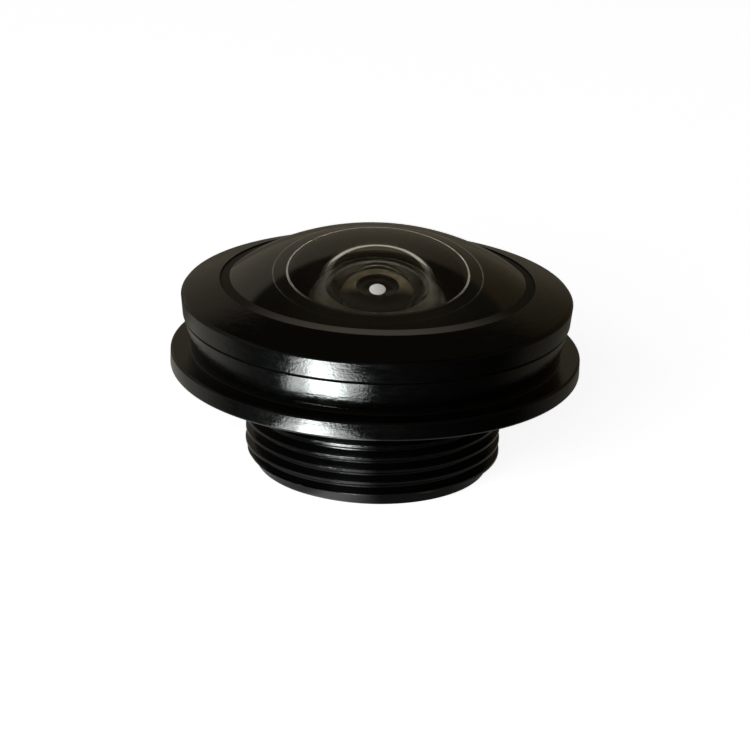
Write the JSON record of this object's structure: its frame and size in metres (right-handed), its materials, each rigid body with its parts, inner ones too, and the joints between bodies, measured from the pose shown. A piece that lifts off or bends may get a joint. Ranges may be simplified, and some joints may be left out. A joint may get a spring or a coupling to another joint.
{
  "type": "wide-angle lens",
  "caption": "Black screw-in wide-angle lens: a domed front glass under a conical ring, a round seating flange and a fine-threaded barrel that holds a stack of small glasses.",
  "frame": {"origin": "centre of the barrel's rear face, which the lens stands on", "axes": "+Z along the optical axis, from the rear face towards the domed front glass"},
  "size_m": [0.016, 0.016, 0.0093],
  "materials": {
    "black_anodised_aluminium": "satin black anodised",
    "black_spacer_metal": "matt black anodised",
    "black_film": "matt black film",
    "seal_rubber": "matt",
    "optical_glass": "polished, coated",
    "filter_glass": "polished, coated"
  },
  "bodies": {
    "root": {"barrel": "black_anodised_aluminium", "front_retaining_ring": "black_anodised_aluminium", "front_seal_ring": "seal_rubber", "front_lens": "optical_glass", "front_baffle": "black_film", "inner_retaining_ring": "black_anodised_aluminium", "second_lens": "optical_glass", "middle_baffle": "black_film", "front_spacer": "black_spacer_metal", "third_lens": "optical_glass", "aperture_stop": "black_film", "stop_spacer": "black_spacer_metal", "fourth_lens": "optical_glass", "fifth_lens": "optical_glass", "rear_spacer": "black_spacer_metal", "sixth_lens": "optical_glass", "ir_cut_filter": "filter_glass", "filter_retaining_ring": "black_anodised_aluminium"}
  },
  "joints": []
}
